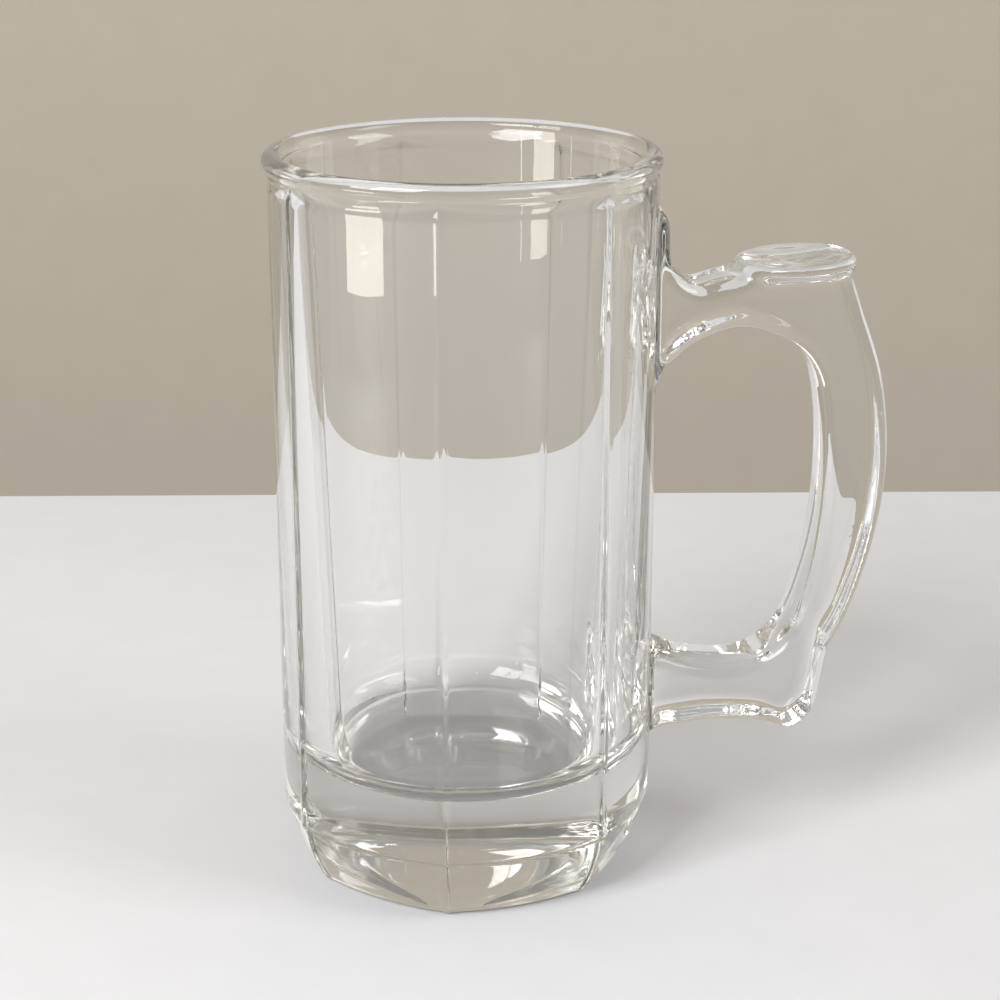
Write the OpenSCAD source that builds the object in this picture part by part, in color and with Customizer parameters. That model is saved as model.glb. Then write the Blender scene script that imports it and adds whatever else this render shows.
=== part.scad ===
// Clear pressed-glass beer mug: a thick panelled body with a handle fused to one of its ridges.
// Origin at the centre of the foot on the table, +Z up, handle along +X. Millimetres.

/* [Body] */
// Height from the table to the top of the rim
mug_h = 152; // [135:1:190]
// Width across the ridges, as a diameter about the axis
ridge_d = 79.2; // [74:0.2:100]
// Number of panels round the body
panel_count = 7; // [5:1:12]
// Share by which each panel bulges out, from 0 for a flat one to 1 for a round body
panel_bulge = 0.86; // [0.4:0.02:0.96]

/* [Rim] */
// How far the rolled rim stands out past the ridges
rim_lip = 0.4; // [0.2:0.1:1.6]
// Thickness of the rolled rim
bead_d = 4; // [3:0.1:6]

/* [Inside] */
// Thickness of the wall at the rim, measured at a ridge
rim_wall = 3.4; // [2.8:0.1:6]
// Thickness of the wall at the floor, measured at a ridge
floor_wall = 8.8; // [6:0.1:18]
// Height of the inside floor above the table
floor_z = 23.5; // [12:0.5:40]
// Radius where the inside wall meets the floor
floor_fillet = 8; // [2:0.5:16]

/* [Foot] */
// Height of the crease between the panels and the heel
crease_z = 13.4; // [9:0.2:18]
// Ledge from the panels' middles in to the heel at the crease
crease_ledge = 0.3; // [0.2:0.1:1]
// How far the foot's edge lies inside the wall
foot_in = 7; // [5.5:0.1:12]
// Width of the bearing ring, from the foot's edge to the hollow
bearing_w = 7.6; // [5:0.2:12]
// Depth of the shallow hollow under the foot
punt_depth = 1.2; // [0.4:0.1:3]

/* [Handle] */
// How far the grip stands out from the ridge
reach = 49; // [45:0.5:60]
// Width of the grip, from its outer to its inner side
grip_w = 13; // [9:0.5:17]
// Thickness of the handle, from side to side
handle_t = 16; // [10:0.5:24]
// Rounding of the handle's edges
handle_edge = 2.6; // [1:0.1:3.2]
// Drop from the rim to the top of the finger gap
gap_drop = 37; // [34:0.5:44]
// Rise of the finger gap's arch from the wall to its top
arch_rise = 9.5; // [6:0.5:14]
// Drop from the rim to the low point of the saddle behind the thumb rest
saddle_drop = 28; // [24:0.5:30]
// Height of the web that runs up the wall from the saddle
web_h = 14; // [8:0.5:18]
// Height of the lower bar's underside above the table
bar_z = 28.4; // [27:0.2:40]
// Thickness of the lower bar
bar_h = 12.6; // [9:0.2:18]
// How far the tail of the grip dips below the lower bar
tail_dip = 2.8; // [1:0.2:4]

/* [Thumb rest] */
// Diameter of the thumb rest
rest_d = 24.6; // [20:0.2:28]
// Distance of the thumb rest's centre inside the grip's outer side
rest_in = 20.2; // [17:0.2:22]
// Drop from the rim to the edge of the thumb rest
rest_drop = 23.4; // [21:0.2:26]
// Straight part of the thumb rest's rounded edge
rest_edge = 0.6; // [0.2:0.1:2]
// Height of the flare under the thumb rest
rest_flare = 4; // [2:0.5:9]
// Depth of the dish in the thumb rest
rest_dish = 1; // [0.4:0.1:1.6]
// Upward tilt of the thumb rest away from the body
rest_tilt = 3; // [0:0.5:6]

/* [Hidden] */
$fn = 96;
glass_tint = [0.86, 0.9, 0.89, 0.4];
// Length by which a cutter runs past the face it cuts, and by which the heel runs up inside the wall
over = 1;
// Points along the outline between two of its stations
steps = 3;

wall = ridge_d / 2;
panel_step = 360 / panel_count;
half_panel = wall * sin(panel_step / 2);
bulge = panel_bulge * wall * (1 - cos(panel_step / 2));
panel_r = (half_panel ^ 2 + bulge ^ 2) / (2 * bulge);
panel_out = wall * cos(panel_step / 2) + bulge;
bead_z = mug_h - bead_d / 2;
heel_top = panel_out - crease_ledge;
foot_edge = wall - foot_in;
heel_r = ((heel_top - foot_edge) ^ 2 + crease_z ^ 2) / (2 * (heel_top - foot_edge));
punt_edge = foot_edge - bearing_w;
punt_r = (punt_edge ^ 2 + punt_depth ^ 2) / (2 * punt_depth);
mouth_r = wall - rim_wall;
floor_r = wall - floor_wall;
taper = (mouth_r - floor_r) / (mug_h - floor_z);

grip_x = wall + reach;
gap_x = grip_x - grip_w;
gap_top = mug_h - gap_drop;
gap_foot = bar_z + bar_h;
saddle_z = mug_h - saddle_drop;
rest_z = mug_h - rest_drop;
rest_x = grip_x - rest_in;
// Place inside the wall to which the handle's blank runs before it is cut to the body
root_x = wall * 0.82;

// Distance from the axis at share k of the handle's reach
function out_at(k) = wall + k * reach;

// Height at share k of the finger gap
function gap_at(k) = gap_foot + k * (gap_top - gap_foot);

// Stations of the handle's outline in its own plane, from the web over the grip to the arch
function stations() = [
    [root_x, saddle_z + web_h],
    [out_at(0.012), saddle_z + web_h],
    [out_at(0.04), saddle_z + 0.32 * web_h],
    [out_at(0.143), saddle_z],
    [out_at(0.265), saddle_z + 0.07 * web_h],
    [rest_x - 0.366 * rest_d, rest_z - 0.1 * rest_d],
    [rest_x, rest_z - 0.08 * rest_d],
    [rest_x + 0.366 * rest_d, rest_z - 0.08 * rest_d],
    [grip_x - 0.48 * grip_w, gap_at(1.02)],
    [grip_x - 0.15 * grip_w, gap_at(0.85)],
    [grip_x - 0.01 * grip_w, gap_at(0.66)],
    [grip_x - 0.05 * grip_w, gap_at(0.48)],
    [grip_x - 0.25 * grip_w, gap_at(0.3)],
    [grip_x - 0.57 * grip_w, gap_at(0.13)],
    [grip_x - 0.85 * grip_w, gap_at(0.03)],
    [grip_x - 0.985 * grip_w, bar_z + 0.4 * bar_h],
    [grip_x - 1.11 * grip_w, bar_z - tail_dip + 0.24 * bar_h],
    [grip_x - 1.43 * grip_w, bar_z - tail_dip],
    [grip_x - 1.92 * grip_w, bar_z - 0.29 * tail_dip],
    [out_at(0.265), bar_z],
    [root_x, bar_z],
    [root_x, gap_foot + 0.29 * bar_h],
    [out_at(0.02), gap_foot + 0.27 * bar_h],
    [out_at(0.143), gap_foot + 0.095 * bar_h],
    [out_at(0.327), gap_foot],
    [gap_x - 0.92 * grip_w, gap_foot + 0.14 * bar_h],
    [gap_x - 0.49 * grip_w, gap_at(0.105)],
    [gap_x - 0.22 * grip_w, gap_at(0.25)],
    [gap_x - 0.06 * grip_w, gap_at(0.4)],
    [gap_x, gap_at(0.57)],
    [gap_x - 0.046 * grip_w, gap_at(0.74)],
    [gap_x - 0.215 * grip_w, gap_at(0.87)],
    [gap_x - 0.615 * grip_w, gap_top - 0.38 * arch_rise],
    [out_at(0.36), gap_top],
    [out_at(0.173), gap_top - 0.23 * arch_rise],
    [out_at(0.04), gap_top - 0.73 * arch_rise],
    [root_x, gap_top - 1.53 * arch_rise]
];

// Point at share t of the smooth curve from b to c, with a before and d after
function smooth(a, b, c, d, t) = (
    2 * b + (c - a) * t
    + (2 * a - 5 * b + 4 * c - d) * t ^ 2
    + (3 * b - a - 3 * c + d) * t ^ 3
) / 2;

// Closed smooth curve through a ring of points
function smooth_ring(p) = let (n = len(p)) [
    for (i = [0:n - 1], k = [0:steps - 1])
        smooth(p[(i + n - 1) % n], p[i], p[(i + 1) % n], p[(i + 2) % n], k / steps)
];

// Half-section of the round heel, from the foot's edge up to the crease
module heel_section() {
    square([heel_top - heel_r, crease_z]);
    translate([0, crease_z]) square([heel_top, over]);
    intersection() {
        translate([heel_top - heel_r, crease_z]) circle(heel_r);
        square([heel_top, crease_z]);
    }
}

// Upright wall of bulged panels that meet in ridges, each panel a stretch of a cylinder
module panelled_wall() {
    intersection_for (i = [0:panel_count - 1])
        rotate(panel_step * (i + 0.5))
            translate([panel_out - panel_r, 0, crease_z])
                cylinder(r = panel_r, h = bead_z - crease_z);
}

// Half-section of the tapered inside with its rounded floor
module inside_section() {
    slant = sqrt(1 + taper ^ 2);
    fillet_z = floor_z + floor_fillet;
    fillet_x = floor_r + taper * floor_fillet - floor_fillet * slant;
    polygon([
        [0, floor_z],
        [fillet_x, floor_z],
        [fillet_x, fillet_z],
        [fillet_x + floor_fillet / slant, fillet_z - floor_fillet * taper / slant],
        [mouth_r + taper * over, mug_h + over],
        [0, mug_h + over]
    ]);
    translate([fillet_x, fillet_z]) circle(floor_fillet);
}

// Core of the strap: its outline less the rounding that the edges get later
module strap_core() {
    rotate([90, 0, 0])
        linear_extrude(handle_t - 2 * handle_edge, center = true)
            offset(delta = -handle_edge) polygon(smooth_ring(stations()));
}

// Core of the round thumb rest with the flare below it
module rest_core() {
    core_r = rest_d / 2 - handle_edge;
    neck_r = handle_t / 2 - handle_edge;
    translate([rest_x, 0, rest_z]) rotate([0, -rest_tilt, 0]) translate([0, 0, -handle_edge - rest_edge]) {
        cylinder(r = core_r, h = rest_edge, $fn = 48);
        translate([0, 0, -rest_flare]) cylinder(r1 = neck_r, r2 = core_r, h = rest_flare, $fn = 48);
    }
}

// Handle before it is cut to the body, with every edge rounded
module handle_blank() {
    minkowski() {
        union() {
            strap_core();
            rest_core();
        }
        sphere(handle_edge, $fn = 16);
    }
}

// Shallow ball-shaped dish in the top of the thumb rest
module rest_hollow() {
    dish_r = ((rest_d / 2 - handle_edge) ^ 2 + rest_dish ^ 2) / (2 * rest_dish);
    translate([rest_x, 0, rest_z]) rotate([0, -rest_tilt, 0])
        translate([0, 0, dish_r - rest_dish]) rotate([90, 0, 0]) sphere(dish_r);
}

// Thick body with its panels, rolled rim, tapered inside and shallow hollow underfoot
module mug_body() {
    color(glass_tint) difference() {
        union() {
            panelled_wall();
            rotate_extrude() heel_section();
            rotate_extrude() translate([wall + rim_lip - bead_d / 2, bead_z]) circle(d = bead_d);
        }
        rotate_extrude() inside_section();
        translate([0, 0, punt_depth - punt_r]) rotate([90, 0, 0]) sphere(punt_r);
    }
}

// Handle with its thumb rest, cut to the body's wall where the two roots are fused on
module handle() {
    color(glass_tint) difference() {
        handle_blank();
        rest_hollow();
        panelled_wall();
    }
}

mug_body();
handle();
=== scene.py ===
"""Clear pressed-glass beer mug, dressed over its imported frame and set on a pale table."""

import math

import bmesh
import bpy
import numpy as np
from mathutils import Matrix, Vector


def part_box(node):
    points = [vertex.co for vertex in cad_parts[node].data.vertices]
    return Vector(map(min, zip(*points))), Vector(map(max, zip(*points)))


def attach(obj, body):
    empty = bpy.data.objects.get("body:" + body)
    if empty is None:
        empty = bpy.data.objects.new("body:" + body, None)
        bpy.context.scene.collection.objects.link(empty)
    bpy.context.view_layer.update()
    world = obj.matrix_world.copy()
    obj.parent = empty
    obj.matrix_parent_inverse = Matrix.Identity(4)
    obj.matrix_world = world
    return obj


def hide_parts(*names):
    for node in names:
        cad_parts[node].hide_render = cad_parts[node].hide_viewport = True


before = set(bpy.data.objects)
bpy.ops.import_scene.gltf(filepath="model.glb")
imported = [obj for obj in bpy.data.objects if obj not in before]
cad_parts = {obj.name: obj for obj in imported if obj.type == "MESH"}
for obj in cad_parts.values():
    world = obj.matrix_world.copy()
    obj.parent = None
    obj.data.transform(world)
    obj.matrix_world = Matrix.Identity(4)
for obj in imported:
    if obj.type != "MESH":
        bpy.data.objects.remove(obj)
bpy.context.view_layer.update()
BODY_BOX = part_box("mug_body")
HANDLE_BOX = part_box("handle")

bl_info = {
    "name": "Panelled Glass Mug",
    "version": (1, 0, 0),
    "blender": (4, 5, 0),
    "location": "View3D > Sidebar > Mug",
    "description": "Builds a panelled pressed-glass mug with a fused handle, and the table it stands on",
    "category": "Add Mesh",
}

MM = 0.001
RIM_R = BODY_BOX[1][0]
MUG_H = BODY_BOX[1][2]
GRIP_X = HANDLE_BOX[1][0]

# Rows of the body's mesh along each stretch of its profile
FOOT_ROWS = 5
HEEL_ROWS = 22
WALL_ROWS = 118
NECK_ROWS = 8
RIM_ROWS = 22
INSIDE_ROWS = 26
FILLET_ROWS = 16
# Rounding of the wall's lower edge: shares of the ledge, and millimetres above the crease
CREASE_CURVE = ((0, -0.05), (0.3, 0.02), (0.6, 0.15), (0.85, 0.45), (0.96, 0.8), (1, 1.2))
# Angles at which the rolled rim's arc leaves the neck and meets the inside
RIM_START, RIM_END = -48, 162
# Share by which the mesh's columns crowd towards the ridges
CROWDING = 0.35

# Depth to which the handle's skin runs into the wall before it is cut
ROOT_DEPTH = 3 * MM
# Hair's breadth between the handle's seam and the wall, so that light meets one face at a time
SEAM = 0.03 * MM
# Cuts that are tried, and the growth of the mesh size from one to the next
CUT_TRIES = 6
CELL_GROWTH = 0.013
# Least share of the skin's volume that a good cut leaves
LEAST_LEFT = 0.6

# Limit of the times that light is bent or mirrored in the glass
BOUNCES = 64
# Soft lights: place right of, behind and above the mug, width, height, watts and colour
WINDOWS = {
    "window_left": ((-0.55, -0.65, 0.75), 0.46, 0.58, 8.6, (1, 1, 1)),
    "window_right": ((1.0, -0.4, 1.0), 0.5, 0.8, 5, (1, 1, 1)),
    "window_low": ((-0.385, -0.24, 0.075), 0.15, 0.09, 0.34, (1, 0.97, 0.86)),
    "pane_right": ((0.62, 0.3, 0.22), 0.4, 0.42, 0.5, (1, 1, 1)),
    "pane_left": ((-0.62, 0.3, 0.22), 0.4, 0.42, 0.4, (1, 1, 1)),
}


def length(name, description, default):
    """A size in metres, given here in millimetres."""
    return bpy.props.FloatProperty(
        name=name, description=description, default=default * MM, unit="LENGTH", precision=5
    )


def tint(name, description, default):
    """A plain colour."""
    return bpy.props.FloatVectorProperty(
        name=name, description=description, default=default, size=3, subtype="COLOR", min=0, max=1
    )


def number(name, description, default):
    """A plain number."""
    return bpy.props.FloatProperty(name=name, description=description, default=default)


def angle(name, description, default):
    """An angle, given here in degrees."""
    return bpy.props.FloatProperty(
        name=name, description=description, default=math.radians(default), subtype="ANGLE"
    )


class MugBodySizes(bpy.types.PropertyGroup):
    """Sizes of the pressed body."""

    panels: bpy.props.IntProperty(name="Panels", description="Panels round the body", default=7, min=3)
    panel_steps: bpy.props.IntProperty(
        name="Panel Steps", description="Faces across each panel", default=48
    )
    ridge_r: length("Ridge Radius", "Distance of the ridges from the axis", 39.8)
    panel_r: length("Panel Radius", "Distance of the panels' middles from the axis", 38.9)
    ridge_soft: length("Ridge Softness", "How widely the ridges are rounded", 0.1)
    rib_w: length("Rib Width", "Half the width of the low rib along each ridge", 1.3)
    rib_h: length("Rib Height", "Height of the low rib along each ridge", 0.3)
    bead_r: length("Rim Bead Radius", "Radius of the rolled rim's section", 2)
    neck_h: length("Neck Height", "Height over which the panels fade out below the rim", 3.6)
    mouth_r: length("Mouth Radius", "Inside radius at the rim", 36.2)
    floor_r: length("Floor Radius", "Inside radius at the floor", 30.8)
    floor_z: length("Floor Height", "Height of the inside floor", 23.5)
    floor_fillet: length("Floor Fillet", "Radius between the inside wall and the floor", 8)
    crease_z: length("Crease Height", "Height of the crease between wall and heel", 13.4)
    crease_in: length("Crease Ledge", "Small ledge from the wall in to the heel", 0.9)
    foot_in: length("Foot Inset", "How far the foot's corners lie inside the wall", 6.3)
    heel_bulge: length("Heel Bulge", "How far the heel stands out from a straight slope", 1)
    foot_share: number("Foot Panels", "How much deeper the panels are at the foot than on the wall", 1.5)
    foot_round: length("Foot Rounding", "Rounding of the foot's bottom edge", 1.2)
    punt_r: length("Hollow Radius", "Radius of the shallow hollow underfoot", 25)
    punt_depth: length("Hollow Depth", "Depth of the shallow hollow underfoot", 1.2)


class MugHandleSizes(bpy.types.PropertyGroup):
    """Sizes of the fused handle."""

    grip_w: length("Grip Width", "Width of the grip from its outer to its inner side", 13)
    thickness: length("Thickness", "Thickness of the handle from side to side", 16)
    edge: length("Edge Rounding", "Rounding of the handle's long edges", 3)
    gap_drop: length("Gap Drop", "Drop from the rim to the top of the finger gap", 37)
    arch_rise: length("Arch Rise", "Rise of the finger gap's arch", 9.5)
    saddle_drop: length("Saddle Drop", "Drop from the rim to the saddle", 28)
    web_h: length("Web Height", "Height of the web on the wall above the saddle", 14)
    bar_z: length("Bar Height", "Height of the lower bar's underside", 28.4)
    bar_h: length("Bar Thickness", "Thickness of the lower bar", 12.6)
    tail_dip: length("Tail Dip", "How far the tail dips below the lower bar", 2.8)
    rest_r: length("Thumb Rest Radius", "Radius of the thumb rest", 12.3)
    rest_out: length("Thumb Rest Reach", "Distance of the thumb rest's centre from the ridge", 28.8)
    rest_drop: length("Thumb Rest Drop", "Drop from the rim to the thumb rest's edge", 23.4)
    rest_edge: length("Thumb Rest Edge", "Half the thickness of the thumb rest's edge", 1.5)
    rest_dish: length("Thumb Rest Dish", "Depth of the dish in the thumb rest", 1.2)
    rest_tilt: angle("Thumb Rest Tilt", "Upward tilt of the thumb rest", 3)
    melt: length("Melt", "Reach of the soft blends between fused glass forms", 5)
    cell: length("Cell", "Mesh size of the handle", 0.55)


class MugGlassLook(bpy.types.PropertyGroup):
    """Finish of the pressed glass."""

    colour: tint("Colour", "Tint of the clear glass", (0.995, 0.997, 0.995))
    depth_tint: tint("Depth Tint", "Tint that the glass takes on with its thickness", (0.14, 0.12, 0.03))
    depth: number("Depth", "Strength of the tint in a metre of glass", 4)
    ior: number("Refraction", "Index of refraction of soda-lime glass", 1.52)
    polish: number("Polish", "Roughness of the fire-polished surface", 0.004)
    scuff: number("Scuff", "Roughness of the worn bearing ring", 0.12)
    ripple: length("Ripple", "Height of the slow waves left by pressing", 0.05)


class MugStage(bpy.types.PropertyGroup):
    """Camera, table, wall and lights."""

    azimuth: angle("Azimuth", "Direction of the camera round the mug", -6.4)
    distance: length("Distance", "Distance of the camera from the axis", 475)
    eye_z: length("Eye Height", "Height of the camera above the table", 234.5)
    pitch: angle("Pitch", "Downward tilt of the camera", 18.2)
    yaw: angle("Yaw", "Turn of the camera to the right of the axis", 0.9)
    focal: number("Focal Length", "Focal length in picture widths", 2.4)
    table_far: length("Table Far Edge", "Distance of the table's far edge behind the axis", 245)
    wall_far: length("Wall Distance", "Distance of the wall behind the axis", 700)
    table_colour: tint("Table Colour", "Colour of the table top", (0.82, 0.82, 0.845))
    wall_colour: tint("Wall Colour", "Colour of the wall", (0.55, 0.5, 0.415))
    room_colour: tint("Room Colour", "Colour of the room's light", (0.75, 0.74, 0.72))
    room_light: number("Room Light", "Strength of the room's light", 0.6)


class Value:
    """A socket of a node tree that takes part in ordinary arithmetic."""

    def __init__(self, graph, socket):
        self.graph = graph
        self.socket = socket

    def math(self, operation, *others):
        """Result of a maths operation on this value and others."""
        return self.graph.maths(operation, self, *others)

    def __add__(self, other):
        return self.math("ADD", other)

    def __radd__(self, other):
        return self.math("ADD", other)

    def __sub__(self, other):
        return self.math("SUBTRACT", other)

    def __rsub__(self, other):
        return self.graph.maths("SUBTRACT", other, self)

    def __mul__(self, other):
        return self.math("MULTIPLY", other)

    def __rmul__(self, other):
        return self.math("MULTIPLY", other)

    def __truediv__(self, other):
        return self.math("DIVIDE", other)

    def __rtruediv__(self, other):
        return self.graph.maths("DIVIDE", other, self)


class Graph:
    """Adds nodes to a shader or geometry tree."""

    def __init__(self, tree):
        self.tree = tree

    def add(self, kind, settings=None, inputs=None, output=0):
        """A new node with its settings and its sockets' values or links; gives one of its outputs."""
        node = self.tree.nodes.new(kind)
        for key, value in (settings or {}).items():
            setattr(node, key, value)
        for key, value in (inputs or {}).items():
            socket = node.inputs[key]
            if isinstance(value, Value):
                self.tree.links.new(value.socket, socket)
            else:
                socket.default_value = value
        return Value(self, node.outputs[output])

    def maths(self, operation, *values):
        """Result of a maths operation on values and plain numbers."""
        return self.add("ShaderNodeMath", {"operation": operation}, dict(enumerate(values)))


def arc(centre, radius, start, end, count):
    """Points of an arc from one angle to another, in degrees."""
    return [
        (centre[0] + radius * math.cos(a), centre[1] + radius * math.sin(a))
        for a in np.radians(np.linspace(start, end, count))
    ]


def line(a, b, count):
    """Evenly spaced points from a up to but not including b."""
    return [tuple(p) for p in np.linspace(a, b, count, endpoint=False)]


def body_profile(b):
    """Body's profile as radius, panel share and height, from the underside over the rim to the floor."""
    foot_r = b.ridge_r - b.foot_in
    heel_top = b.ridge_r - b.crease_in
    heel_in = heel_top - foot_r
    heel_out = 4 * b.heel_bulge / math.hypot(heel_in, b.crease_z)
    bead = (RIM_R - b.bead_r, MUG_H - b.bead_r)
    taper = (b.mouth_r - b.floor_r) / (MUG_H - b.floor_z)
    slant = math.degrees(math.atan(taper))
    fillet_x = b.floor_r + taper * b.floor_fillet - b.floor_fillet * math.sqrt(1 + taper ** 2)
    fillet = (fillet_x, b.floor_z + b.floor_fillet)

    hollow = [(b.punt_r * t, 0, b.punt_depth * (1 - t * t)) for t in np.linspace(0, 1, 9)]
    bearing = foot_r - b.foot_round - b.punt_r
    ring = [(b.punt_r + bearing * t, b.foot_share * t, 0) for t in (0.25, 0.5, 0.75)]
    slope = []
    for t in np.linspace(b.foot_round / b.crease_z, 0.99, HEEL_ROWS):
        out = heel_out * t * (1 - t)
        slope.append((foot_r + heel_in * t + out * b.crease_z, b.crease_z * t - out * heel_in))
    edge_in, edge_r = foot_r - b.foot_round, foot_r + 0.3 * b.foot_round
    foot_edge = []
    for t in np.linspace(0, 1, FOOT_ROWS, endpoint=False):
        r = (1 - t) ** 2 * edge_in + 2 * t * (1 - t) * edge_r + t * t * slope[0][0]
        foot_edge.append((r, t * t * slope[0][1]))
    heel = []
    for r, z in foot_edge + slope:
        heel.append((r, 1 + (b.foot_share - 1) * (1 - z / b.crease_z) ** 2, z))
    crease = [
        (heel_top + k * b.crease_in, 1, b.crease_z + dz * MM)
        for k, dz in CREASE_CURVE
    ]
    neck_z = bead[1] - b.bead_r - b.neck_h + 1 * MM
    wall_z = b.crease_z + 1.6 * MM
    wall = [(r, 1, z) for r, z in line((b.ridge_r, wall_z), (b.ridge_r, neck_z), WALL_ROWS)]
    outside = heel + crease + wall

    rim = arc(bead, b.bead_r, RIM_START, RIM_END, RIM_ROWS)
    neck = []
    for t in np.linspace(0, 1, NECK_ROWS, endpoint=False):
        share = 1 - t * t * (3 - 2 * t)
        r = b.ridge_r + (rim[0][0] - b.ridge_r) * (1 - share) - 0.25 * MM * math.sin(math.pi * t)
        neck.append((r, share, neck_z + (rim[0][1] - neck_z) * t))
    fillet_arc = arc(fillet, b.floor_fillet, -slant, -90, FILLET_ROWS)
    inner_top = (b.mouth_r - taper * b.bead_r * 1.2, MUG_H - b.bead_r * 1.2)
    inside = line(inner_top, fillet_arc[0], INSIDE_ROWS) + fillet_arc
    floor = [(fillet_x * t, 0, b.floor_z) for t in (0.8, 0.6, 0.4, 0.2, 0)]
    return hollow + ring + outside + neck + [(r, 0, z) for r, z in rim + inside] + floor


def body_tree():
    """Node tree that turns a profile round the axis and presses bulged panels into it."""
    tree = bpy.data.node_groups.new("Panelled Body", "GeometryNodeTree")
    tree.interface.new_socket("Geometry", in_out="OUTPUT", socket_type="NodeSocketGeometry")
    tree.interface.new_socket("Geometry", in_out="INPUT", socket_type="NodeSocketGeometry")
    for name in ("Panels", "Panel Steps"):
        tree.interface.new_socket(name, in_out="INPUT", socket_type="NodeSocketInt")
    for name in ("Ridge Radius", "Panel Radius", "Ridge Softness", "Rib Width", "Rib Height"):
        tree.interface.new_socket(name, in_out="INPUT", socket_type="NodeSocketFloat")
    tree.interface.new_socket("Glass", in_out="INPUT", socket_type="NodeSocketMaterial")
    g = Graph(tree)
    source = tree.nodes.new("NodeGroupInput")
    profile, panels, panel_steps, ridge_r, panel_r, softness, rib_w, rib_h, glass = (
        Value(g, source.outputs[i]) for i in range(9)
    )

    rows = g.add("GeometryNodeAttributeDomainSize", inputs={"Geometry": profile})
    steps = panels * panel_steps
    grid = g.add("GeometryNodeMeshGrid", inputs={"Vertices X": steps + 1, "Vertices Y": rows})
    index = g.add("GeometryNodeInputIndex")
    column = (index / rows + 0.25 / rows).math("FLOOR")
    row = index - column * rows
    place = g.add("GeometryNodeInputPosition")
    sampled = g.add(
        "GeometryNodeSampleIndex",
        {"data_type": "FLOAT_VECTOR", "domain": "POINT"},
        {"Geometry": profile, "Value": place, "Index": row},
    )
    parts = g.add("ShaderNodeSeparateXYZ", inputs={0: sampled}).socket.node
    radius, share, height = (Value(g, parts.outputs[i]) for i in range(3))

    along = column / panel_steps
    panel = along.math("FLOOR")
    even = (along - panel) * 2 - 1
    crowded = even * (1 + CROWDING - even * even * CROWDING)
    panel_step = math.tau / panels
    turn = (panel + (crowded + 1) / 2) * panel_step
    half_step = panel_step / 2
    half_panel = ridge_r * half_step.math("SINE")
    bulge = panel_r - ridge_r * half_step.math("COSINE")
    bend_r = (half_panel * half_panel + bulge * bulge) / (bulge * 2)
    offset = panel_r - bend_r
    own = (turn.math("MODULO", panel_step) - half_step).math("ABSOLUTE")

    def panel_reach(away):
        """Distance of a panel's face from the axis, at an angle away from its middle."""
        side = offset * away.math("SINE")
        return offset * away.math("COSINE") + (bend_r * bend_r - side * side).math("SQRT")

    reach = panel_reach(own).math("SMOOTH_MIN", panel_reach(panel_step - own), softness)
    from_ridge = (half_step - own) * ridge_r / rib_w
    rib = (1 - from_ridge * from_ridge).math("MAXIMUM", 0)
    pressed = radius - share * (ridge_r - reach - rib * rib * rib_h)
    position = g.add(
        "ShaderNodeCombineXYZ",
        inputs={0: pressed * turn.math("COSINE"), 1: pressed * turn.math("SINE"), 2: height},
    )
    shaped = g.add("GeometryNodeSetPosition", inputs={"Geometry": grid, "Position": position})
    closed = g.add("GeometryNodeMergeByDistance", inputs={"Geometry": shaped, "Distance": 1e-6})
    smooth = g.add("GeometryNodeSetShadeSmooth", inputs={"Geometry": closed})
    real = g.add("GeometryNodeRealizeInstances", inputs={"Geometry": smooth})
    finished = g.add("GeometryNodeSetMaterial", inputs={"Geometry": real, "Material": glass})
    sink = tree.nodes.new("NodeGroupOutput")
    tree.links.new(finished.socket, sink.inputs[0])
    return tree


def new_object(name, mesh):
    """An object at the origin that holds a mesh."""
    obj = bpy.data.objects.new(name, mesh)
    bpy.context.scene.collection.objects.link(obj)
    return obj


def evaluated_mesh(obj):
    """Plain mesh of an object with its modifiers applied."""
    bpy.context.view_layer.update()
    graph = bpy.context.evaluated_depsgraph_get()
    return bpy.data.meshes.new_from_object(obj.evaluated_get(graph))


def face_outwards(mesh):
    """Turns a closed mesh's faces outwards and shades them smooth."""
    bm = bmesh.new()
    bm.from_mesh(mesh)
    bmesh.ops.recalc_face_normals(bm, faces=bm.faces)
    bm.to_mesh(mesh)
    bm.free()
    mesh.polygons.foreach_set("use_smooth", [True] * len(mesh.polygons))


def enclosed(mesh):
    """Volume inside a closed mesh, or nothing where its faces leave an edge open."""
    bm = bmesh.new()
    bm.from_mesh(mesh)
    closed = all(edge.is_manifold for edge in bm.edges)
    volume = bm.calc_volume() if closed else 0
    bm.free()
    return volume


def mesh_points(mesh):
    """Vertex places of a mesh as an array."""
    places = np.empty(len(mesh.vertices) * 3)
    mesh.vertices.foreach_get("co", places)
    return places.reshape(-1, 3)


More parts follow.
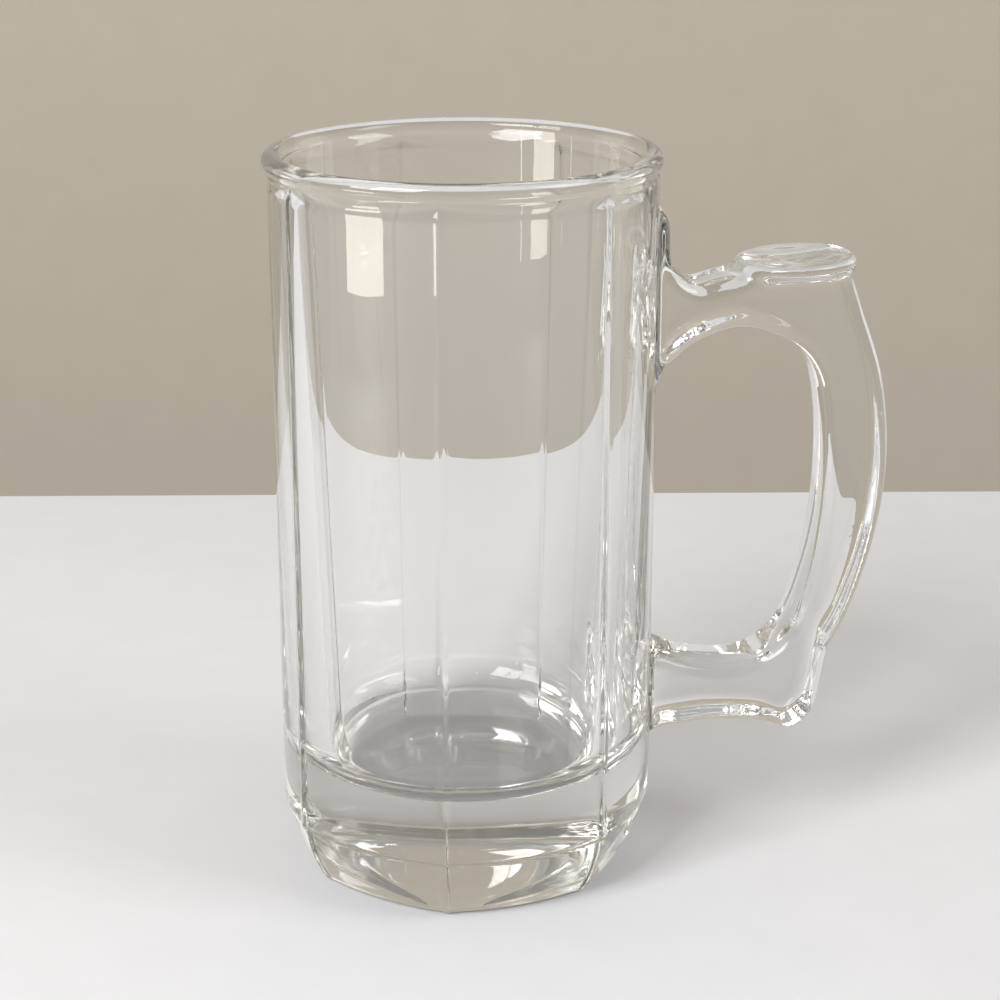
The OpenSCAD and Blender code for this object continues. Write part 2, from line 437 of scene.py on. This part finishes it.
def handle_stations(b, h):
    """Stations of the handle's outline in its own plane, from the web over the grip to the arch."""
    wall = b.ridge_r
    grip_x = GRIP_X
    gap_x = grip_x - h.grip_w
    gap_top = MUG_H - h.gap_drop
    gap_foot = h.bar_z + h.bar_h
    saddle_z = MUG_H - h.saddle_drop
    rest_x = wall + h.rest_out
    rest_z = MUG_H - h.rest_drop
    bury = 7 * MM

    def gap_at(k):
        return gap_foot + k * (gap_top - gap_foot)

    def at(x, dx, z, dz=0.0):
        return (x + dx * MM, z + dz * MM)

    return [
        (wall - bury, saddle_z + h.web_h),
        at(wall, 0.6, saddle_z + h.web_h),
        at(wall, 2, saddle_z, 4.5),
        at(wall, 7, saddle_z),
        at(wall, 13, saddle_z, 1),
        at(rest_x, -9, rest_z, -2.5),
        at(rest_x, 0, rest_z, -2),
        at(rest_x, 9, rest_z, -2),
        at(grip_x, -6.2, gap_at(1.02)),
        at(grip_x, -2, gap_at(0.85)),
        at(grip_x, -0.1, gap_at(0.66)),
        at(grip_x, -0.6, gap_at(0.48)),
        at(grip_x, -3.2, gap_at(0.3)),
        at(grip_x, -7.4, gap_at(0.13)),
        at(grip_x, -11, gap_at(0.03)),
        at(grip_x, -12.8, h.bar_z, 5),
        at(grip_x, -14.4, h.bar_z - h.tail_dip, 3),
        at(grip_x, -18.6, h.bar_z - h.tail_dip),
        at(grip_x, -25, h.bar_z, -0.8),
        at(wall, 13, h.bar_z),
        (wall - bury, h.bar_z),
        at(wall - bury, 0, gap_foot, 3.6),
        at(wall, 1, gap_foot, 3.4),
        at(wall, 7, gap_foot, 1.2),
        at(wall, 16, gap_foot),
        at(gap_x, -12, gap_foot, 1.8),
        at(gap_x, -6.4, gap_at(0.105)),
        at(gap_x, -2.9, gap_at(0.25)),
        at(gap_x, -0.8, gap_at(0.4)),
        at(gap_x, 0, gap_at(0.57)),
        at(gap_x, -0.6, gap_at(0.74)),
        at(gap_x, -2.8, gap_at(0.87)),
        at(gap_x, -8, gap_top, -3.6),
        at(wall, 17.6, gap_top),
        at(wall, 8.5, gap_top, -2.2),
        at(wall, 2, gap_top - h.arch_rise, 2.6),
        at(wall - bury, 0, gap_top - h.arch_rise, -5),
    ]


def smooth_ring(stations, steps=24):
    """Closed smooth curve through a ring of points."""
    b = np.array(stations)
    a, c, d = np.roll(b, 1, 0), np.roll(b, -1, 0), np.roll(b, -2, 0)
    t = (np.arange(steps) / steps)[None, :, None]
    a, b, c, d = (p[:, None, :] for p in (a, b, c, d))
    curve = 2 * b + (c - a) * t + (2 * a - 5 * b + 4 * c - d) * t ** 2 + (3 * b - a - 3 * c + d) * t ** 3
    return (curve / 2).reshape(-1, 2)


def outline_distance(ring, points):
    """Signed distance of points from a closed outline, negative inside."""
    start, end = ring, np.roll(ring, -1, 0)
    way = end - start
    nearest = np.full(len(points), np.inf)
    inside = np.zeros(len(points), bool)
    for s, w, e in zip(start, way, end):
        off = points - s
        t = np.clip(off @ w / (w @ w), 0, 1)
        gap = off - t[:, None] * w
        nearest = np.minimum(nearest, (gap * gap).sum(1))
        crosses = (s[1] <= points[:, 1]) != (e[1] <= points[:, 1])
        if crosses.any():
            x = s[0] + (points[:, 1] - s[1]) * w[0] / (w[1] if w[1] else 1.0)
            inside ^= crosses & (points[:, 0] < x)
    return np.where(inside, -1, 1) * np.sqrt(nearest)


class Chart:
    """Values on a regular plane grid, read between its points with a smooth cubic."""

    def __init__(self, low, step, values):
        self.low = np.array(low)
        self.step = step
        self.values = values

    def __call__(self, x, z):
        u = (x - self.low[0]) / self.step
        v = (z - self.low[1]) / self.step
        i = np.clip(np.floor(u).astype(int), 1, self.values.shape[0] - 3)
        j = np.clip(np.floor(v).astype(int), 1, self.values.shape[1] - 3)
        across = self.weights(u - i)
        along = self.weights(v - j)
        total = 0
        for m in range(4):
            for n in range(4):
                total = total + across[m] * along[n] * self.values[i + m - 1, j + n - 1]
        return total

    @staticmethod
    def weights(t):
        """Cubic weights of the four grid points round a place."""
        return (
            (-t + 2 * t ** 2 - t ** 3) / 2,
            (2 - 5 * t ** 2 + 3 * t ** 3) / 2,
            (t + 4 * t ** 2 - 3 * t ** 3) / 2,
            (-(t ** 2) + t ** 3) / 2,
        )


def rounded(a, b, radius):
    """Distance from a form whose two limits a and b meet in an edge of the given rounding."""
    a, b = a + radius, b + radius
    return np.hypot(np.maximum(a, 0), np.maximum(b, 0)) + np.minimum(np.maximum(a, b), 0) - radius


def melted(a, b, reach):
    """Union of two distances with a soft blend."""
    mix = np.maximum(reach - np.abs(a - b), 0) / reach
    return np.minimum(a, b) - mix ** 3 * reach / 6


class HandleForm:
    """The handle as a signed distance: rounded strap, thumb rest, and melted roots on the body."""

    def __init__(self, b, h, body_points):
        self.h = h
        ring = smooth_ring(handle_stations(b, h))
        margin = 6 * MM
        side = h.rest_r + 1.5 * MM
        self.low = np.array([ring[:, 0].min(), -side, ring[:, 1].min() - margin])
        self.high = np.array([ring[:, 0].max() + 1.5 * MM, side, ring[:, 1].max() + 0.8 * margin])
        step = 0.5 * MM
        x = np.arange(self.low[0] - margin, self.high[0] + margin, step)
        z = np.arange(self.low[2] - margin, self.high[2] + margin, step)
        flat = np.stack(np.meshgrid(x, z, indexing="ij"), -1).reshape(-1, 2)
        self.outline = Chart((x[0], z[0]), step, outline_distance(ring, flat).reshape(len(x), len(z)))
        wall = body_points[np.abs(body_points[:, 2] - 0.5 * MUG_H) < 3 * MM]
        wall = wall[np.hypot(wall[:, 0], wall[:, 1]) > b.panel_r - 0.5 * MM]
        turn = np.arctan2(wall[:, 1], wall[:, 0])
        order = np.argsort(turn)
        self.turns = turn[order]
        self.reaches = np.hypot(wall[:, 0], wall[:, 1])[order]
        self.rest = (b.ridge_r + h.rest_out, MUG_H - h.rest_drop)

    def off_body(self, p):
        """Distance outside the body's wall."""
        turn = np.arctan2(p[:, 1], p[:, 0])
        return np.hypot(p[:, 0], p[:, 1]) - np.interp(turn, self.turns, self.reaches)

    def thumb_rest(self, p):
        """Dished disc on a flared neck."""
        h = self.h
        c, s = math.cos(h.rest_tilt), math.sin(h.rest_tilt)
        u, w = p[:, 0] - self.rest[0], p[:, 2] - self.rest[1]
        u, w = c * u + s * w, c * w - s * u
        from_axis = np.hypot(u, p[:, 1])
        edge = h.rest_edge
        disc = rounded(from_axis - h.rest_r, np.abs(w + edge) - edge, edge * 0.98)
        dish_r = ((h.rest_r - edge) ** 2 + h.rest_dish ** 2) / (2 * h.rest_dish)
        bowl = np.sqrt(from_axis ** 2 + (w - dish_r + h.rest_dish) ** 2) - dish_r
        return -melted(-disc, bowl, 1.2 * MM)

    def __call__(self, p):
        h = self.h
        strap = rounded(self.outline(p[:, 0], p[:, 2]), np.abs(p[:, 1]) - h.thickness / 2, h.edge)
        form = melted(strap, self.thumb_rest(p), h.melt)
        return melted(form, self.off_body(p) + 0.35 * MM, h.melt)

    def slope(self, p):
        """Direction in which the distance grows fastest."""
        d = 0.05 * MM
        parts = []
        for axis in np.eye(3):
            parts.append(self(p + d * axis) - self(p - d * axis))
        way = np.stack(parts, 1)
        return way / np.maximum(np.linalg.norm(way, axis=1, keepdims=True), 1e-12)


def skin(form, cell, inner_x):
    """Closed quad skin of a form: one point for each cell that its surface crosses, moved onto it."""
    low = np.array([inner_x, form.low[1], form.low[2]])
    counts = np.ceil((form.high - low) / cell).astype(int) + 1
    axes = [low[k] + cell * np.arange(counts[k]) for k in range(3)]
    nodes = np.stack(np.meshgrid(*axes, indexing="ij"), -1)
    field = form(nodes.reshape(-1, 3)).reshape(counts)
    solid = np.zeros(counts, bool)
    core = (slice(1, -1),) * 3
    solid[core] = field[core] < 0
    corners = [(i, j, k) for i in (0, 1) for j in (0, 1) for k in (0, 1)]
    span = [slice(c, n - 1 + c) for n in counts for c in (0, 1)]

    def corner(array, c):
        return array[span[c[0]], span[2 + c[1]], span[4 + c[2]]]

    filled = sum(corner(solid, c).astype(int) for c in corners)
    active = (filled > 0) & (filled < 8)
    number_of = np.full(active.shape, -1)
    number_of[active] = np.arange(active.sum())
    points = nodes[:-1, :-1, :-1][active] + cell / 2
    skinned = np.abs(form(points)) < cell
    for _ in range(4):
        near = points[skinned]
        points[skinned] = near - form(near)[:, None] * form.slope(near)

    quads = []
    for axis in range(3):
        u, v = (axis + 1) % 3, (axis + 2) % 3
        ahead = [slice(None)] * 3
        here = [slice(None)] * 3
        ahead[axis] = slice(1, None)
        here[axis] = slice(None, -1)
        change = solid[tuple(here)] != solid[tuple(ahead)]
        at = np.argwhere(change)
        for side in (u, v):
            at = at[(at[:, side] > 0) & (at[:, side] < counts[side] - 1)]
        leaving = solid[tuple(at.T)]
        loop = []
        for du, dv in ((-1, -1), (0, -1), (0, 0), (-1, 0)):
            near = at.copy()
            near[:, u] += du
            near[:, v] += dv
            loop.append(number_of[tuple(near.T)])
        quad = np.stack(loop, 1)
        quad[~leaving] = quad[~leaving][:, ::-1]
        quads.append(quad)
    mesh = bpy.data.meshes.new("handle_skin")
    mesh.from_pydata(points.tolist(), [], np.concatenate(quads).tolist())
    mesh.update()
    return mesh


def wall_cutter(body_mesh, form, marker):
    """Closed block whose outer face is the stretch of the body's wall under the handle."""
    mesh = body_mesh.copy()
    bm = bmesh.new()
    bm.from_mesh(mesh)
    side = form.high[1] + 3 * MM
    low, high = form.low[2] - 2 * MM, form.high[2] + 1.5 * MM
    drop = []
    for face in bm.faces:
        c = face.calc_center_median()
        near = c.x > 0 and abs(c.y) < side and low < c.z < high
        outer = face.normal.x > 0.5 and math.hypot(c.x, c.y) > form.reaches.min() - 0.6 * MM
        if not (near and outer):
            drop.append(face)
    bmesh.ops.delete(bm, geom=drop, context="FACES")
    clear = 1 + SEAM / form.reaches.max()
    bmesh.ops.scale(bm, vec=(clear, clear, 1), verts=bm.verts)
    grown = bmesh.ops.extrude_face_region(bm, geom=bm.faces[:])
    inner = [v for v in grown["geom"] if isinstance(v, bmesh.types.BMVert)]
    bmesh.ops.translate(bm, verts=inner, vec=(-15 * MM, 0, 0))
    bmesh.ops.recalc_face_normals(bm, faces=bm.faces)
    bm.to_mesh(mesh)
    bm.free()
    mesh.materials.clear()
    mesh.materials.append(marker)
    return new_object("wall_cutter", mesh)


def glass_material(name, look):
    """Clear pressed glass: slow ripples, faint specks of dullness, and a scuffed bearing ring."""
    material = bpy.data.materials.new(name)
    material.use_nodes = True
    g = Graph(material.node_tree)
    shader = material.node_tree.nodes["Principled BSDF"]
    place = g.add("ShaderNodeTexCoord", output="Object")
    height = g.add("ShaderNodeSeparateXYZ", inputs={0: place}, output="Z")

    def noise(scale, detail, roughness=0.5):
        """Uneven values of a given fineness."""
        inputs = {"Vector": place, "Scale": scale, "Detail": detail, "Roughness": roughness}
        return g.add("ShaderNodeTexNoise", inputs=inputs)

    waves = noise(38, 1.5, 0.4)
    grain = noise(900, 3)
    wear = noise(260, 4)
    near_table = (1 - height / (0.3 * MM)).math("MAXIMUM", 0)
    scuffed = (near_table * (wear * 1.6 - 0.2)).math("MINIMUM", 1).math("MAXIMUM", 0)
    dull = ((grain - 0.62) * 0.05).math("MAXIMUM", 0)
    rough = dull + scuffed * look.scuff + look.polish
    ripples = {"Height": waves, "Distance": look.ripple, "Strength": 1.0}
    bump = g.add("ShaderNodeBump", inputs=ripples, output="Normal")
    links = material.node_tree.links
    links.new(rough.socket, shader.inputs["Roughness"])
    links.new(bump.socket, shader.inputs["Normal"])
    thickness = {"Color": (*look.depth_tint, 1), "Density": look.depth}
    absorbed = g.add("ShaderNodeVolumeAbsorption", inputs=thickness)
    links.new(absorbed.socket, material.node_tree.nodes["Material Output"].inputs["Volume"])
    shader.inputs["Base Color"].default_value = (*look.colour, 1)
    shader.inputs["IOR"].default_value = look.ior
    shader.inputs["Transmission Weight"].default_value = 1
    off_seam = g.add("ShaderNodeAttribute", {"attribute_name": "off_seam"}, output="Fac")
    links.new(off_seam.math("GREATER_THAN", 0).socket, shader.inputs["Alpha"])
    return material


def mark_seam(mesh, domain, values):
    """Stores where glass is fused to glass, as values up to 0, so that light passes there straight."""
    mesh.attributes.new("off_seam", "FLOAT", domain).data.foreach_set("value", values)


class MUG_OT_body(bpy.types.Operator):
    """Turns the pressed body with its panels, rim, inside and foot"""

    bl_idname = "mug.body"
    bl_label = "Make Body"

    def execute(self, context):
        b = context.scene.mug_body
        profile = bpy.data.meshes.new("body_profile")
        profile.from_pydata(body_profile(b), [], [])
        body = new_object("glass_body", profile)
        tree = body_tree()
        sizes = {
            "Panels": b.panels,
            "Panel Steps": b.panel_steps,
            "Ridge Radius": b.ridge_r,
            "Panel Radius": b.panel_r,
            "Ridge Softness": b.ridge_soft,
            "Rib Width": b.rib_w,
            "Rib Height": b.rib_h,
            "Glass": glass_material("body_glass", context.scene.mug_glass),
        }
        modifier = body.modifiers.new("Panelled Body", "NODES")
        modifier.node_group = tree
        for item in tree.interface.items_tree:
            if item.in_out == "INPUT" and item.name in sizes:
                modifier[item.identifier] = sizes[item.name]
        mesh = evaluated_mesh(body)
        body.modifiers.clear()
        body.data = mesh
        face_outwards(mesh)
        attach(body, "root")
        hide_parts("mug_body")
        return {"FINISHED"}


class MUG_OT_handle(bpy.types.Operator):
    """Forms the strap handle with its thumb rest and fuses it to the body"""

    bl_idname = "mug.handle"
    bl_label = "Make Handle"

    def execute(self, context):
        scene = context.scene
        b, h = scene.mug_body, scene.mug_handle
        body = bpy.data.objects["glass_body"]
        points = mesh_points(body.data)
        form = HandleForm(b, h, points)
        handle = new_object("glass_handle", bpy.data.meshes.new("handle"))
        glass = glass_material("handle_glass", scene.mug_glass)
        marker = bpy.data.materials.new("seam_marker")
        cutter = wall_cutter(body.data, form, marker)
        for attempt in range(CUT_TRIES):
            mesh = skin(form, h.cell * (1 + CELL_GROWTH * attempt), b.ridge_r - ROOT_DEPTH)
            mesh.materials.append(glass)
            mesh.materials.append(marker)
            face_outwards(mesh)
            uncut = enclosed(mesh)
            handle.data = mesh
            cut = handle.modifiers.new("Cut To Body", "BOOLEAN")
            cut.operation = "DIFFERENCE"
            cut.solver = "EXACT"
            cut.material_mode = "TRANSFER"
            cut.object = cutter
            mesh = evaluated_mesh(handle)
            handle.modifiers.clear()
            if LEAST_LEFT * uncut < enclosed(mesh) < uncut:
                break
        else:
            raise RuntimeError("The handle could not be cut to the body")
        handle.data = mesh
        bpy.data.objects.remove(cutter)
        mesh.polygons.foreach_set("use_smooth", [True] * len(mesh.polygons))
        slots = np.empty(len(mesh.polygons), np.int32)
        mesh.polygons.foreach_get("material_index", slots)
        mark_seam(mesh, "FACE", np.where(slots == mesh.materials.find(marker.name), -1.0, 1.0))
        mesh.polygons.foreach_set("material_index", np.zeros_like(slots))
        mesh.materials.pop()
        bpy.data.materials.remove(marker)

        outer = np.hypot(points[:, 0], points[:, 1]) > b.panel_r - 0.6 * MM
        reached = outer & (points[:, 0] > 0) & (np.abs(points[:, 1]) < form.high[1])
        reached &= (points[:, 2] > form.low[2]) & (points[:, 2] < form.high[2])
        off = np.ones(len(points))
        off[reached] = form(points[reached])
        mark_seam(body.data, "POINT", off)
        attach(handle, "root")
        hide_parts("handle")
        return {"FINISHED"}


def plain_sheet(name, corners, colour, roughness):
    """Flat four-cornered sheet of the stage with a faintly uneven finish."""
    mesh = bpy.data.meshes.new(name)
    mesh.from_pydata(corners, [], [(0, 1, 2, 3)])
    material = bpy.data.materials.new(name)
    material.use_nodes = True
    g = Graph(material.node_tree)
    shader = material.node_tree.nodes["Principled BSDF"]
    place = g.add("ShaderNodeTexCoord", output="Object")
    mottle = g.add("ShaderNodeTexNoise", inputs={"Vector": place, "Scale": 60, "Detail": 6})
    darker = (*(0.94 * c for c in colour), 1)
    shade = g.add(
        "ShaderNodeMix",
        {"data_type": "RGBA"},
        {0: mottle, 6: (*colour, 1), 7: darker},
        output=2,
    )
    material.node_tree.links.new(shade.socket, shader.inputs["Base Color"])
    shader.inputs["Roughness"].default_value = roughness
    mesh.materials.append(material)
    sheet = new_object(name, mesh)


class MUG_OT_stage(bpy.types.Operator):
    """Sets the table, the wall, the soft lights and the camera"""

    bl_idname = "mug.stage"
    bl_label = "Make Stage"

    def execute(self, context):
        scene = context.scene
        s = scene.mug_stage
        turn = Matrix.Rotation(s.azimuth, 3, "Z")

        def seen(x, y, z):
            """Place given as right of, behind and above the mug, as the camera sees it."""
            return turn @ Vector((x, y, z))

        side, top = 1.6, -0.2 * MM
        near, far = -side, s.table_far
        table = [(-side, near, top), (side, near, top), (side, far, top), (-side, far, top)]
        plain_sheet("table", [seen(*p) for p in table], s.table_colour, 0.55)
        side, low, high = 3, -1.5, 2.5
        far = s.wall_far
        wall = [(-side, far, low), (side, far, low), (side, far, high), (-side, far, high)]
        plain_sheet("wall", [seen(*p) for p in wall], s.wall_colour, 0.8)

        world = bpy.data.worlds.new("room")
        world.use_nodes = True
        room = world.node_tree.nodes["Background"]
        room.inputs["Color"].default_value = (*s.room_colour, 1)
        room.inputs["Strength"].default_value = s.room_light
        scene.world = world

        def window(name, place, width, height, power, colour):
            """Soft rectangular light that faces the mug."""
            lamp = bpy.data.lights.new(name, "AREA")
            lamp.shape = "RECTANGLE"
            lamp.size = width
            lamp.size_y = height
            lamp.energy = power
            lamp.color = colour
            obj = bpy.data.objects.new(name, lamp)
            scene.collection.objects.link(obj)
            obj.location = seen(*place)
            aim = Vector((0, 0, MUG_H / 2)) - obj.location
            obj.rotation_euler = aim.to_track_quat("-Z", "Y").to_euler()

        for name, settings in WINDOWS.items():
            window(name, *settings)

        camera = bpy.data.cameras.new("camera")
        camera.sensor_width = 36
        camera.lens = s.focal * camera.sensor_width
        camera.clip_start = 0.01
        eye = bpy.data.objects.new("camera", camera)
        scene.collection.objects.link(eye)
        flat = math.cos(s.pitch)
        gaze = seen(math.sin(s.yaw) * flat, math.cos(s.yaw) * flat, -math.sin(s.pitch))
        eye.location = seen(0, -s.distance, s.eye_z)
        eye.rotation_euler = gaze.to_track_quat("-Z", "Y").to_euler()
        scene.camera = eye
        scene.view_settings.view_transform = "Standard"
        scene.cycles.max_bounces = BOUNCES
        scene.cycles.transmission_bounces = BOUNCES
        scene.cycles.glossy_bounces = BOUNCES
        scene.cycles.transparent_max_bounces = BOUNCES
        return {"FINISHED"}


class MUG_PT_panel(bpy.types.Panel):
    """Lists the mug's makers and sizes"""

    bl_idname = "MUG_PT_panel"
    bl_label = "Glass Mug"
    bl_space_type = "VIEW_3D"
    bl_region_type = "UI"
    bl_category = "Mug"

    def draw(self, context):
        layout = self.layout
        for operator in ("mug.body", "mug.handle", "mug.stage"):
            layout.operator(operator)
        for group in ("mug_body", "mug_handle", "mug_glass", "mug_stage"):
            sizes = getattr(context.scene, group)
            box = layout.box()
            for key in sizes.__annotations__:
                box.prop(sizes, key)


GROUPS = {
    "mug_body": MugBodySizes,
    "mug_handle": MugHandleSizes,
    "mug_glass": MugGlassLook,
    "mug_stage": MugStage,
}
CLASSES = (*GROUPS.values(), MUG_OT_body, MUG_OT_handle, MUG_OT_stage, MUG_PT_panel)


def register():
    for cls in CLASSES:
        bpy.utils.register_class(cls)
    for name, group in GROUPS.items():
        setattr(bpy.types.Scene, name, bpy.props.PointerProperty(type=group))


def unregister():
    for name in GROUPS:
        delattr(bpy.types.Scene, name)
    for cls in reversed(CLASSES):
        bpy.utils.unregister_class(cls)


def main():
    register()
    bpy.ops.mug.body()
    bpy.ops.mug.handle()
    bpy.ops.mug.stage()


if __name__ == "__main__":
    main()
